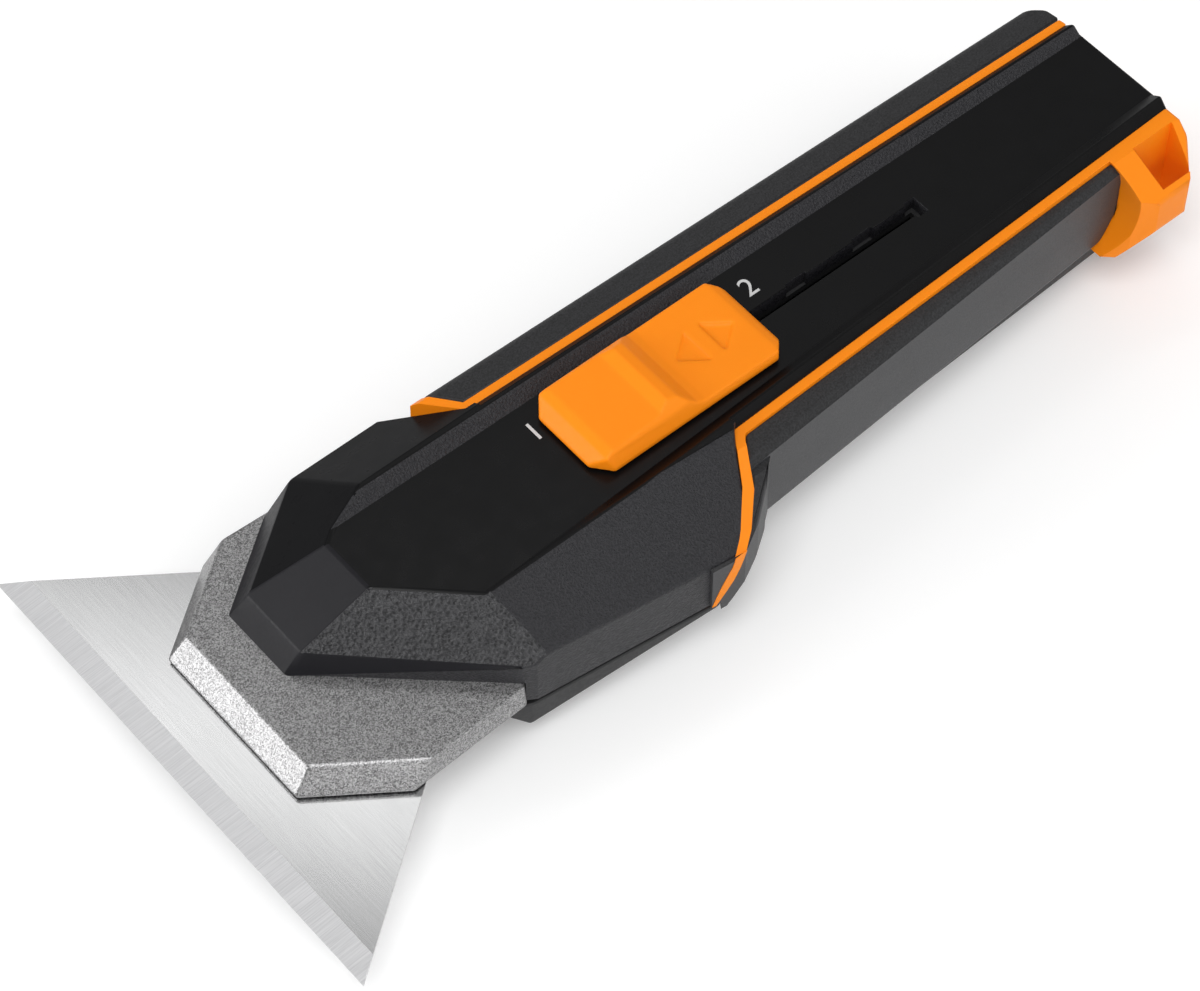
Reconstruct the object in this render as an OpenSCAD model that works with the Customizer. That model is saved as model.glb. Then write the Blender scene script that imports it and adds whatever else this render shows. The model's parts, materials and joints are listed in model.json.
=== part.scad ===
// Razor blade scraper: a trapezoid blade on a carrier that swings a quarter turn
// between a scraping place across the head and a cutting place along the side.
// Frame: X forward to the cutting edge, Z up, origin under the middle of the tool.
// Plan points are given as [u, y], where u is measured back from the cutting edge.

/* [Blade] */
// Length of the cutting edge
blade_len = 61; // [59:0.5:63]
// Blade height from cutting edge to back
blade_h = 19; // [18:0.25:20]
// Blade thickness
blade_t = 0.6; // [0.4:0.05:0.9]
// Length of the blade's back edge
blade_back = 33; // [30:0.5:37]
// Width of the ground bevel along the edge
grind_w = 2.8; // [1.5:0.1:4]
// Width of each locating notch in the back edge
notch_w = 2; // [1.6:0.1:2.4]
// Depth of each locating notch
notch_d = 1.6; // [1.2:0.1:2]
// Distance between the two notches
notch_pitch = 8; // [7:0.25:9]

/* [Head plate] */
// Reach of the cutting edge in front of the head plate
edge_reach = 7.7; // [7:0.1:8.5]
// Width of the head plate's front edge
plate_front_w = 21.2; // [18:0.2:24]
// Full width of the head plate
plate_w = 35; // [33:0.2:36]
// Sideways offset of the head plate
plate_off = 0.6; // [0.2:0.1:1]
// Thickness of the head plate
plate_t = 3.2; // [2.8:0.1:3.6]
// Length of the plate's corner cuts along the tool
plate_cut = 9.5; // [8:0.5:11]
// Height of the square land under the plate's bevels
plate_land = 0.5; // [0.3:0.1:1]
// Width of the bevel on the plate's front edge
bevel_front = 2.2; // [1.2:0.1:3]
// Width of the bevels on the plate's corner cuts
bevel_side = 1.7; // [1:0.1:2.2]

/* [Body] */
// Overall length from cutting edge to tail
overall_l = 129; // [127:0.5:136]
// Height of the thumb panel above the base
panel_z = 19.4; // [18.8:0.1:21]
// Thickness of the thumb panel
panel_t = 1.8; // [1.4:0.1:2.2]
// Height of the rims beside the panel
rim_h = 1; // [0.5:0.1:1.5]
// Width of the upper shell where the grips begin
shell_w = 19.5; // [19:0.1:20]
// Sideways offset of the upper shell where the grips begin
shell_off = 0.4; // [0:0.1:0.6]
// Width of the upper shell at the tail
shell_tail_w = 15.6; // [15:0.2:16.4]
// Half width of the head where the blade slit ends
wing_y = 19.2; // [18.6:0.1:20]
// Thickness of the accent liner
liner_t = 1.1; // [0.8:0.1:1.5]
// Thickness of the grips where they begin
grip_t = 2.75; // [2.4:0.05:3.4]
// Thickness of the base floor
floor_t = 1.4; // [1.2:0.1:1.8]

/* [Mechanism] */
// Travel of the thumb slider
travel = 14; // [12:0.5:15]
// Distance of the pivot behind the blade's back edge
pivot_back = 2.4; // [2.3:0.1:2.8]
// Sideways offset of the pivot from the middle of the tool
pivot_off = 5; // [4.5:0.1:5.4]
// Diameter of the pivot pin
pivot_d = 4; // [3.5:0.1:4.4]
// Diameter of the crank pin
crank_d = 3; // [2.6:0.1:3.2]
// Sideways place of the slot and of the slide
slide_y = 0.65; // [0.4:0.05:0.8]
// Thickness of the drive bar
bar_t = 1.8; // [1.5:0.1:2.2]
// Thickness of the blade carrier
carrier_t = 2.7; // [2.4:0.1:3.2]
// Clearance between moving pieces
gap = 0.3; // [0.25:0.05:0.4]
// Radial clearance on running pins
fit = 0.05; // [0.02:0.01:0.1]

/* [Thumb slider] */
// Length of the thumb slider
slider_l = 25.4; // [24:0.2:27]
// Width of the thumb slider's foot
slider_w = 12.2; // [11.6:0.2:12.6]
// Height of the slider's front pad
pad_h = 2.5; // [2.2:0.1:3.2]
// Extra height of the slider's hump over the front pad
hump_h = 0.7; // [0.4:0.1:1.2]
// Thickness of the slider's stem
stem_t = 1; // [0.8:0.1:1.2]
// Share of the handle behind the slide that the slot takes
slot_share = 0.564; // [0.54:0.004:0.58]

/* [Fasteners and tail] */
// Diameter of the housing and plate screws
screw_d = 2.5; // [2:0.1:2.8]
// Diameter of the screw heads
screw_head_d = 4.4; // [4:0.1:4.8]
// Length of the lanyard hole along the tool
hole_l = 5.8; // [5.7:0.1:6.4]
// Width of the lanyard hole
hole_w = 4.2; // [4.2:0.1:4.6]

/* [Hidden] */
$fn = 48;

x0 = overall_l / 2;
big = 300;

// Heights of the stack from the base up
z_bar = floor_t + gap;
z_bar_top = z_bar + bar_t;
z_car = z_bar_top + gap;
z_blade = z_car + carrier_t;
z_low = z_blade - gap;
z_plate = z_blade + blade_t + gap;
z_ptop = z_plate + plate_t;
z_rim = panel_z + rim_h;
z_under = panel_z - panel_t;

// Pivot and crank
pivot_u = blade_h + pivot_back;
pivot_y = -pivot_off;
crank_r = travel / (2 * sin(45));
crank_u = pivot_u - crank_r * cos(45);
crank_y = pivot_y + crank_r * sin(45);
// Largest lag of the crank behind a steady ratio, taken up by the fork
crank_lag = 0.03 * crank_r;
fork_half = crank_d / 2 + crank_lag + gap;
prong_w = 1.5;
lobe_r = crank_d / 2 + 1;
rotor_r = crank_r + 0.7;
rotor_room = rotor_r + gap;
lobe_room = crank_r + lobe_r + gap;

// Reach of the blade as it swings back
tip_r = sqrt(pow(pivot_u, 2) + pow(blade_len / 2 + pivot_off, 2));
tip_u = pivot_u + blade_len / 2 + pivot_off;
head_end = pivot_u + sqrt(pow(tip_r + gap, 2) - pow(wing_y + pivot_off, 2)) + 0.05;
skirt_u = tip_u + 1.7;

// Nose and facets of the upper shell
nose_u = edge_reach + 6.9;
nose_y = -9.9;
nose_z = z_ptop + 3.1;
crease_z = z_ptop + 3.3;
side_y = plate_w / 2 - 0.1;
plate_r = plate_w / 2 - plate_off;
plate_l = plate_w / 2 + plate_off;
shoulder_u = head_end - 15.6;
neck_u = shoulder_u + 5.6;
// Rear end of the plate, in front of the first housing screw
plate_back_u = shoulder_u - 3.2;
shell_right = shell_w / 2 + shell_off;
shell_left = shell_w / 2 - shell_off;
grip_y = shell_right + liner_t + grip_t;
turn_right = 3.8;
turn_left = 0.85;
// Lean of the head's rear end on the side wall, and where it starts
lean = 70;
end_u = head_end + 1.8;
end_y = wing_y + 0.2;
end_z = crease_z + 0.5;
end_in = wing_y - 4.2;

// Slide pieces
riser_u = tip_u + 3.5;
stem_l = 11;
slider_u = riser_u - 10.4;
slot_u = riser_u - 0.6;
slot_l = slot_share * (overall_l - slot_u);
slot_end = slot_u + slot_l;
tail_half = shell_tail_w / 2;
panel_y = slider_w / 2 + gap;
park_u = slider_u + slider_l + travel;
cav_y1 = tail_half - 1.9;
cav_y0 = 2 * slide_y - cav_y1;
cavity_end = overall_l - 3.4;
dplate_t = 0.8;
z_dplate = z_under - dplate_t;
z_carr = z_dplate - gap;
slot_w = stem_t + 2 * gap;
spring_t = 0.3;
spring_w = 2;
web_half = 1.7;
spring_y = slide_y + web_half + 0.05 + spring_w / 2;
detent_d = 2.2;
pin_d = 1.6;
pin_z = z_carr - 3.2;
rivet_d = 1.6;
rivet_in = 2;
rivet_bite = 2.4;
rivet_y = crank_y;
foot_half = 3;
foot_h = 3;
guide_over = 3;
guide_t = 2;
dive_u = riser_u + stem_l + 8;
dplate_end = slot_end + 1.6;

// Drive bar: a wide fork head and a narrower shank
bar_u0 = crank_u - fork_half - prong_w;
bar_u1 = crank_u + fork_half + prong_w;
bar_y0 = crank_y - fork_half - 1.1;
bar_y1 = crank_y + fork_half + 1.2;
fork_y1 = pivot_y + crank_r + crank_d / 2;

// Screw places as [u, y]
boss_r = screw_d / 2 + 1.6;
head_screws = [[shoulder_u + 1, -side_y + 6.4], [shoulder_u + 12, -shell_left + 1.8]];
tail_screws = [[dplate_end + boss_r + 0.25, slide_y], [overall_l - 9, slide_y]];
plate_places = [[pivot_u + 5.5, -12], [plate_back_u - 5.7, 3.5]];
head_h = 1.5;
plate_bite = 2.6;
head_bite = 4.4;
tail_bite = 2.6;

// Tail
hole_y = tail_half + liner_t + 0.7;
tail_y = hole_y + hole_w + 0.8;
tail_in = tail_half + liner_t / 2;
tail_arc_u = overall_l - 21.5;
tail_arc_r = 12.5;
tail_arc_z = z_low + 7.8;
hole_u = overall_l - 1.2 - hole_l;

// Plan outlines as [u, y]
function edge_right() = [[end_u, end_y], [head_end + 3.6, wing_y - 1.4], [head_end + 6.2, end_in],
    [head_end + 8.2, shell_right + 1.4], [head_end + 9.2, shell_right], [overall_l, tail_half]];
function edge_left() = [[overall_l, -tail_half], [neck_u, -shell_left], [shoulder_u, -side_y]];
function liner_right() = [[overall_l, tail_half + liner_t],
    [head_end + 9.2 + 0.55 * liner_t, shell_right + liner_t],
    [head_end + 8.2 + 0.9 * liner_t, shell_right + 1.4 + 0.4 * liner_t],
    [head_end + 6.2 + 0.9 * liner_t, end_in + 0.65 * liner_t],
    [head_end + 3.6 + 0.7 * liner_t, wing_y - 1.4 + 0.7 * liner_t],
    [end_u + 1.4 * liner_t, end_y + 0.18 * liner_t]];
function liner_left() = [[shoulder_u + 1.5 * liner_t, -side_y],
    [neck_u + 0.4 * liner_t, -shell_left - liner_t], [overall_l, -tail_half - liner_t]];
// Side wall of the head, from behind the plate to the liner
wall_u = plate_back_u - 3.2;
wall_k = (end_y - side_y + 1) / (end_u - wall_u);
function wall_at(u) = end_y - wall_k * (end_u - u);
// Plate corners: each corner cut runs at its own rate, and its bevel moves it back
front_r = plate_front_w / 2 - plate_off;
front_l = plate_front_w / 2 + plate_off;
rate_r = (plate_r - front_r) / plate_cut;
rate_l = (plate_l - front_l) / plate_cut;
function back_off(cut, rate) = cut * sqrt(1 + 1 / pow(rate, 2));
function plate_pts(front, cut, side) = [
    [edge_reach + front, -front_l + rate_l * (back_off(cut, rate_l) - front)],
    [edge_reach + front, front_r - rate_r * (back_off(cut, rate_r) - front)],
    [edge_reach + back_off(cut, rate_r) + (plate_r - side - front_r) / rate_r, plate_r - side],
    [plate_back_u - 4.6, plate_r - 0.6 - side], [plate_back_u, 9], [plate_back_u, -13.5],
    [plate_back_u - 10, -plate_l + 0.3 + side],
    [edge_reach + back_off(cut, rate_l) + (plate_l - side - front_l) / rate_l, -plate_l + side]];
// Edges of the thumb panel, which close in toward the tail
function panel_right(u) = slide_y + panel_y + 0.04 * (park_u - u);
function panel_left(u) = slide_y - panel_y - 0.009 * (park_u - u);
function panel_pts(grow) = [[0, panel_left(0) - grow], [0, panel_right(0) + grow],
    [overall_l + 2, panel_right(overall_l + 2) + grow], [overall_l + 2, panel_left(overall_l + 2) - grow]];
// Plan turn of the handle's two edges
turn_edge_r = atan((shell_right - tail_half) / (overall_l - head_end - 9.2));
turn_edge_l = atan((shell_left - tail_half) / (overall_l - neck_u));

// Solid over a plan outline
module plan(pts, z0, z1) {
    translate([0, 0, z0])
        linear_extrude(z1 - z0)
            polygon([for (p = pts) [x0 - p[0], p[1]]]);
}

// Solid behind a side outline given as [u, z]
module side(pts, y0, y1) {
    translate([0, y1, 0])
        rotate([90, 0, 0])
            linear_extrude(y1 - y0)
                polygon([for (p = pts) [x0 - p[0], p[1]]]);
}

// Solid along a cross section given as [y, z]
module sect(pts, u0, u1) {
    translate([x0 - u1, 0, 0])
        rotate([90, 0, 90])
            linear_extrude(u1 - u0)
                polygon(pts);
}

// Upright cylinder and box at a plan place
module post(u, y, r, z0, z1) {
    translate([x0 - u, y, z0])
        cylinder(r = r, h = z1 - z0);
}
module block(u0, u1, y0, y1, z0, z1) {
    translate([x0 - u1, y0, z0])
        cube([u1 - u0, y1 - y0, z1 - z0]);
}

// Everything above a sloped face, which faces the plan angle and rises inward
module above(u, y, z, face, slope) {
    translate([x0 - u, y, z])
        rotate([0, 0, face])
            rotate([0, slope, 0])
                translate([-big / 2, -big / 2, 0])
                    cube([big, big, big]);
}
// Everything below a sloped face, which faces the plan angle and runs in downward
module below(u, y, z, face, slope) {
    translate([x0 - u, y, z])
        rotate([0, 0, face])
            rotate([0, -slope, 0])
                translate([-big / 2, -big / 2, -big])
                    cube([big, big, big]);
}

module right_facet() {
    above(head_end - 10, wing_y - 0.7, crease_z, 86, 36);
}
module left_facet() {
    above(shoulder_u, -side_y, crease_z, -90, 36);
}

// Rear end of the head's side wall, which leans forward toward the base; off sets it back
module end_cut(off) {
    intersection() {
        below(end_u + 0.7 * off, end_y + 0.7 * off, end_z, 135, lean);
        block(0, head_end + 9, end_in + 0.65 * off, big, 0, big);
    }
}
// All that lies inside the accent liner on the right
module shell_zone() {
    difference() {
        plan(concat([[head_end - 7, wing_y + 4], [end_u - wing_y - 4 + end_y, wing_y + 4]], edge_right(),
                    [[overall_l + 1, tail_half], [overall_l + 1, -1], [head_end - 7, -1]]), 0, big);
        end_cut(0);
    }
}
// The accent liner and all that lies inside it on the right
module liner_zone(z0, z1) {
    difference() {
        plan(concat(liner_right(), [[head_end - 6, wall_at(head_end - 6)], [head_end - 6, 0], [overall_l, 0]]),
             z0, z1);
        end_cut(liner_t);
    }
}
// Room of the blade's tip as it swings past the end of the slit
module tip_room() {
    post(pivot_u, pivot_y, tip_r + gap, 0, z_plate);
}

// Room that the blade sweeps between the two places, seen from above
module blade_outline() {
    polygon([[x0, -blade_len / 2], [x0, blade_len / 2],
             [x0 - blade_h, blade_back / 2], [x0 - blade_h, -blade_back / 2]]);
}

// Cross section of the handle over one grip, before the plan taper
module handle_env(dir, turn) {
    translate([x0 - head_end - 11, 0, 0])
        rotate([0, 0, dir * turn])
            translate([-x0 + head_end + 11, 0, 0])
                mirror([0, dir < 0 ? 1 : 0, 0])
                    sect([[0, z_low - 1], [grip_y - 1.2, z_low - 1], [grip_y - 0.2, z_low + 1.2],
                          [grip_y + 0.1, z_low + 5], [grip_y, panel_z - 2.4], [grip_y, panel_z - 1.6],
                          [grip_y - 0.7, panel_z - 0.9], [shell_right - 1, panel_z - 0.15],
                          [0, panel_z - 0.15]], shoulder_u - 3, overall_l);
}

module upper_shell() {
    color([0.06, 0.06, 0.065])
    difference() {
        union() {
            plan(concat([[nose_u, nose_y], [nose_u, -0.3], [plate_back_u - 4.5, side_y - 1.8],
                         [wall_u, side_y - 1]], edge_right(), edge_left(),
                        [[nose_u + 10.3, -side_y]]), z_plate, z_rim);
            intersection() {
                plan(concat(edge_right(), edge_left()), z_low, z_plate + 1);
                block(skirt_u, overall_l, -big, big, 0, big);
            }
        }
        // Head plate seat under the nose
        plan(plate_pts(0, 0, 0), z_plate - 1, z_ptop);
        // Lip and facets of the nose
        above(nose_u, 0, z_ptop, 0, 60);
        above(nose_u, -0.3, z_ptop, 46, 74);
        above(nose_u, nose_y, z_ptop, -54, 58);
        above(nose_u + 1.8, 0, nose_z, 0, 36);
        above(nose_u + 1.8, 0.1, nose_z, 46, 52.6);
        above(nose_u + 1.7, nose_y + 1.1, nose_z + 0.1, -54, 37);
        right_facet();
        left_facet();
        end_cut(0);
        // Rims fall away to the liner on both sides of the handle
        intersection() {
            above(overall_l, tail_half, panel_z - 0.15, 90 + turn_edge_r, 45);
            block(head_end + 9.4, overall_l + 1, 0, big, 0, big);
        }
        intersection() {
            above(overall_l, -tail_half, panel_z - 0.15, -90 - turn_edge_l, 45);
            block(neck_u + 1, overall_l + 1, -big, 0, 0, big);
        }
        // Recessed thumb panel between sloped rims
        hull() {
            plan(panel_pts(0), panel_z, panel_z + 0.01);
            plan(panel_pts(1.5 * rim_h + 0.75), z_rim + 0.5, z_rim + 0.51);
        }
        // Slot for the slider's stem, with two click notches and a wide end
        block(slot_u, slot_end, slide_y - slot_w / 2, slide_y + slot_w / 2, z_under - 1, panel_z + 1);
        block(slot_end - 0.9, slot_end + 0.5, slide_y - slot_w * 0.75, slide_y + slot_w * 0.75,
              z_under - 1, panel_z + 1);
        for (u = [slot_end - 7, slot_end - 16.4])
            block(u - 1.4, u + 1.4, slide_y - slot_w / 2 - 0.35, slide_y, z_under - 1, panel_z + 1);
        // Hollow of the handle
        difference() {
            block(skirt_u, cavity_end, cav_y0, cav_y1, 0, z_under);
            for (p = tail_screws) post(p[0], p[1], boss_r, z_low, z_under);
        }
        // Rear wall of the liner
        block(overall_l - 2, overall_l + 1, -big, big, 0, z_under);
        // Pilot holes
        for (p = tail_screws) post(p[0], p[1], screw_d / 2, 0, z_under - 2);
        for (p = head_screws) post(p[0], p[1], screw_d / 2, 0, z_plate + 5);
        for (p = plate_places) post(p[0], p[1], screw_d / 2, 0, z_ptop + 3);
    }
}

module lower_shell() {
    color([0.07, 0.07, 0.075])
    difference() {
        union() {
            // Jaw under the blade and floor of the head
            plan([[edge_reach + 1.2, -12.2], [edge_reach + 1.2, crank_y + 5.2], [nose_u - 1, 10],
                  [nose_u + 15.6, 11.3], [nose_u + 15.8, 14.6], [nose_u + 18.6, side_y - 1.4],
                  [head_end, wing_y - 0.4], [head_end + 3.2, wing_y - 1.8],
                  [head_end + 6.2, wing_y - 4], [head_end + 11, grip_y - 2.2],
                  [head_end + 11, -grip_y + 2.2], [shoulder_u + 5, -grip_y + 1.6],
                  [shoulder_u, -side_y + 0.6], [nose_u + 4, -side_y + 0.6],
                  [nose_u - 1, -side_y + 2.8]], 0, z_low);
            // Raised ledge on the side that the blade never sweeps
            difference() {
                plan([[pivot_u + 3, -side_y + 0.6], [pivot_u + 3, -8], [skirt_u, -5],
                      [skirt_u, -shell_left + 0.4], [neck_u, -shell_left],
                      [shoulder_u, -side_y + 0.6]], z_low, z_plate);
                post(pivot_u, pivot_y, rotor_room + 0.6, 0, big);
            }
            // Base of the handle
            intersection() {
                sect([[-6.4, 0], [6.4, 0], [grip_y - 2.6, z_low - 1], [grip_y - 2.6, z_low],
                      [-grip_y + 2.6, z_low], [-grip_y + 2.6, z_low - 1]], skirt_u, overall_l);
                plan([[skirt_u - 1, -grip_y], [skirt_u - 1, grip_y],
                      [overall_l, tail_half], [overall_l, -tail_half]],
                     0, z_low);
            }
        }
        // Edge chamfers along the base
        below(head_end, wing_y - 0.4, z_low - 0.6, 90, 45);
        below(shoulder_u, -side_y + 2, 2, -90, 45);
        intersection() {
            below(nose_u + 15.8, 0, z_low - 1.2, 0, 45);
            block(0, head_end, 11.3, big, -1, z_low);
        }
        below(edge_reach + 1.2, 0, floor_t + 0.5, 0, 45);
        // Rotor pocket
        post(pivot_u, pivot_y, rotor_room, z_car - gap, big);
        intersection() {
            post(pivot_u, pivot_y, lobe_room, z_car - gap, big);
            block(crank_u - lobe_r - gap, 2 * pivot_u - crank_u + lobe_r + gap, pivot_y + 3, big, 0, big);
        }
        // Channel of the drive bar, open upward
        block(bar_u0 - gap, skirt_u + 1, bar_y0 - gap, bar_y1 + gap, floor_t, big);
        block(bar_u0 - gap, bar_u1 + travel + gap, bar_y0 - gap, fork_y1 + gap, floor_t, big);
        // Hollow of the handle
        difference() {
            block(skirt_u, cavity_end, cav_y0, cav_y1, floor_t, big);
            for (p = tail_screws) post(p[0], p[1], boss_r, 0, z_low);
        }
        // Bores for the pivot pin and the screws
        post(pivot_u, pivot_y, pivot_d / 2, -1, big);
        post(pivot_u, pivot_y, pivot_d / 2 + 1, -1, 1.2);
        for (p = concat(head_screws, tail_screws)) {
            post(p[0], p[1], screw_d / 2, -1, big);
            post(p[0], p[1], screw_head_d / 2, -1, head_h + 0.3);
        }
    }
}

module core_frame() {
    color([1, 0.5, 0.06])
    difference() {
        union() {
            // Right liner, flush with the head's side facet
            difference() {
                liner_zone(z_low, panel_z - 0.15);
                shell_zone();
                right_facet();
                tip_room();
            }
            // Left liner under the line of the grip
            intersection() {
                plan(concat(edge_left(), liner_left()), z_low, panel_z - 0.15);
                handle_env(-1, turn_left);
            }
            // Rear wall that joins the two sides
            block(overall_l - 2, overall_l, -tail_half - liner_t, tail_half + liner_t, z_low, z_under);
            // Flared tail with the lanyard hole
            difference() {
                plan([[tail_arc_u, tail_in], [tail_arc_u, tail_y - 4.8], [overall_l - 13, tail_y - 4.4],
                      [overall_l - 9.6, tail_y - 1.2], [overall_l - 7, tail_y], [overall_l - 2.4, tail_y],
                      [overall_l, tail_y - 3.4], [overall_l, tail_in]], z_low, panel_z - 0.15);
                translate([x0 - tail_arc_u, 0, tail_arc_z])
                    rotate([-90, 0, 0])
                        cylinder(r = tail_arc_r, h = big, $fn = 96);
                above(overall_l, tail_half + liner_t + 1, panel_z - 0.15, 90, 45);
                below(overall_l, tail_y, z_low + 3.6, 90, 60);
            }
        }
        // Lanyard hole, narrower toward the grip
        plan([[hole_u, hole_y], [hole_u + hole_l, hole_y], [hole_u + hole_l - 0.5, hole_y + hole_w],
              [hole_u + 1.1, hole_y + hole_w]], 0, big);
    }
}

module left_grip() {
    color([0.16, 0.16, 0.165])
    intersection() {
        handle_env(-1, turn_left);
        plan(concat(liner_left(), [[overall_l, -tail_half - liner_t - 2.2],
                                   [overall_l - 2, -tail_half - liner_t - 4.4], [overall_l - 2, -big],
                                   [shoulder_u, -big]]), z_low, big);
    }
}

module right_grip() {
    color([0.16, 0.16, 0.165])
    intersection() {
        block(shoulder_u, overall_l, 0, big, z_low, big);
        difference() {
            union() {
                intersection() {
                    handle_env(1, turn_right);
                    block(head_end + 8, overall_l, 0, big, 0, big);
                }
                // Finger stop that blends into the head
                difference() {
                    plan([[head_end - 1.4, wing_y + 0.15], [head_end + 1.2, wing_y + 0.45],
                          [head_end + 2.8, wing_y + 0.4], [head_end + 5.7, wing_y - 1],
                          [head_end + 8.6, wing_y - 3.1], [head_end + 9.7, wing_y - 4.2],
                          [head_end + 11, grip_y - 0.1], [head_end + 12.4, grip_y - 1.4],
                          [head_end + 12.4, 0], [head_end - 1.4, 0]], z_low - 1, panel_z - 2);
                    right_facet();
                    below(head_end + 5.7, wing_y - 1, z_low + 2.8, 120, 63);
                }
            }
            liner_zone(0, big);
            tip_room();
            // Round end against the tail
            difference() {
                block(tail_arc_u, overall_l + 1, 0, big, 0, big);
                translate([x0 - tail_arc_u, -1, tail_arc_z])
                    rotate([-90, 0, 0])
                        cylinder(r = tail_arc_r, h = big, $fn = 96);
            }
        }
    }
}

module head_plate() {
    color([0.55, 0.55, 0.56])
    difference() {
        union() {
            plan(plate_pts(0, 0, 0), z_plate, z_plate + plate_land);
            hull() {
                plan(plate_pts(0, 0, 0), z_plate + plate_land - 0.05, z_plate + plate_land);
                plan(plate_pts(bevel_front, bevel_side, 0.3), z_ptop - 0.05, z_ptop);
            }
        }
        post(pivot_u, pivot_y, pivot_d / 2, 0, z_ptop - 0.6);
        for (p = plate_places) {
            post(p[0], p[1], screw_d / 2, 0, big);
            post(p[0], p[1], screw_head_d / 2, 0, z_plate + head_h);
        }
    }
}

module screw(u, y, z0, z1) {
    post(u, y, screw_head_d / 2, z0, z0 + head_h);
    post(u, y, screw_d / 2, z0 + head_h, z1);
}

module plate_screws() {
    color([0.35, 0.35, 0.37])
    for (p = plate_places) screw(p[0], p[1], z_plate, z_ptop + plate_bite);
}

module housing_screws() {
    color([0.35, 0.35, 0.37]) {
        for (p = head_screws) screw(p[0], p[1], 0.3, z_plate + head_bite);
        for (p = tail_screws) screw(p[0], p[1], 0.3, z_under - tail_bite);
    }
}

module pivot_pin() {
    color([0.7, 0.7, 0.72]) {
        post(pivot_u, pivot_y, pivot_d / 2 + 1, 0.2, 1.2);
        post(pivot_u, pivot_y, pivot_d / 2, 1.2, z_ptop - 0.6);
    }
}

module thrust_washer() {
    color([0.9, 0.9, 0.86])
    difference() {
        post(pivot_u, pivot_y, pivot_d / 2 + 1.4, z_car - gap, z_car - 0.1);
        post(pivot_u, pivot_y, pivot_d / 2 + fit, 0, big);
    }
}

module blade_carrier() {
    color([0.3, 0.3, 0.32])
    difference() {
        union() {
            post(pivot_u, pivot_y, rotor_r, z_car, z_blade);
            post(crank_u, crank_y, lobe_r, z_car, z_blade);
            for (s = [-1, 1])
                post(blade_h - notch_d + notch_w / 2 - 0.1, s * notch_pitch / 2, notch_w / 2 - 0.15,
                     z_blade - 1, z_blade + blade_t - 0.1);
        }
        post(pivot_u, pivot_y, pivot_d / 2 + fit, 0, big);
        post(crank_u, crank_y, crank_d / 2, 0, z_blade - 0.6);
        post(pivot_u - 5.5, pivot_y - 3, 3, z_blade - 1.5, z_blade);
    }
}

module crank_pin() {
    color([0.7, 0.7, 0.72])
    post(crank_u, crank_y, crank_d / 2, z_bar + 0.2, z_blade - 0.6);
}

module blade_magnet() {
    color([0.6, 0.6, 0.62])
    post(pivot_u - 5.5, pivot_y - 3, 3, z_blade - 1.5, z_blade);
}

module blade() {
    color([0.8, 0.81, 0.82])
    difference() {
        intersection() {
            side([[0, z_blade + blade_t / 2 - 0.03], [0, z_blade + blade_t / 2 + 0.03],
                  [grind_w, z_blade + blade_t], [blade_h, z_blade + blade_t],
                  [blade_h, z_blade], [grind_w, z_blade]], -blade_len, blade_len);
            translate([0, 0, z_blade - 1])
                linear_extrude(blade_t + 2)
                    blade_outline();
        }
        for (s = [-1, 1]) {
            translate([0, s * notch_pitch / 2, 0])
                block(blade_h - notch_d + notch_w / 2, blade_h + 1, -notch_w / 2, notch_w / 2, 0, big);
            post(blade_h - notch_d + notch_w / 2, s * notch_pitch / 2, notch_w / 2, 0, big);
        }
    }
}

module drive_bar() {
    color([0.62, 0.62, 0.64])
    difference() {
        union() {
            block(bar_u0, bar_u1, bar_y0, fork_y1, z_bar, z_bar_top);
            block(bar_u0, riser_u + stem_l + 1, bar_y0, bar_y1, z_bar, z_bar_top);
        }
        // Open fork for the crank pin
        block(crank_u - fork_half, crank_u + fork_half, crank_y - fork_half, big, 0, big);
        for (u = [riser_u + rivet_in, riser_u + stem_l - rivet_in]) post(u, rivet_y, rivet_d / 2, 0, big);
    }
}

module bar_rivets() {
    color([0.7, 0.7, 0.72])
    for (u = [riser_u + rivet_in, riser_u + stem_l - rivet_in])
        post(u, rivet_y, rivet_d / 2, z_bar, z_bar_top + rivet_bite);
}

module slide_carriage() {
    color([0.2, 0.2, 0.21])
    difference() {
        union() {
            // Foot on the bar, web and guide head
            block(riser_u, riser_u + stem_l, rivet_y - foot_half, rivet_y + foot_half, z_bar_top,
                  z_bar_top + foot_h);
            block(riser_u, riser_u + stem_l, slide_y - web_half, slide_y + web_half, z_bar_top, z_carr);
            block(riser_u - 0.6, riser_u + stem_l + guide_over, cav_y0 + 2 * gap, cav_y1 - 2 * gap,
                  z_carr - guide_t, z_carr - spring_t);
        }
        // Socket for the slider's stem
        block(riser_u - 1, riser_u + stem_l + 1, slide_y - stem_t / 2, slide_y + stem_t / 2, z_carr - 5, big);
        for (u = [riser_u + rivet_in, riser_u + stem_l - rivet_in])
            post(u, rivet_y, rivet_d / 2, 0, z_bar_top + rivet_bite);
        translate([x0 - riser_u - stem_l / 2, -big / 2, pin_z])
            rotate([-90, 0, 0])
                cylinder(d = pin_d, h = big);
        post(riser_u + rivet_in, spring_y, rivet_d / 2, 0, big);
    }
}

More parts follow.
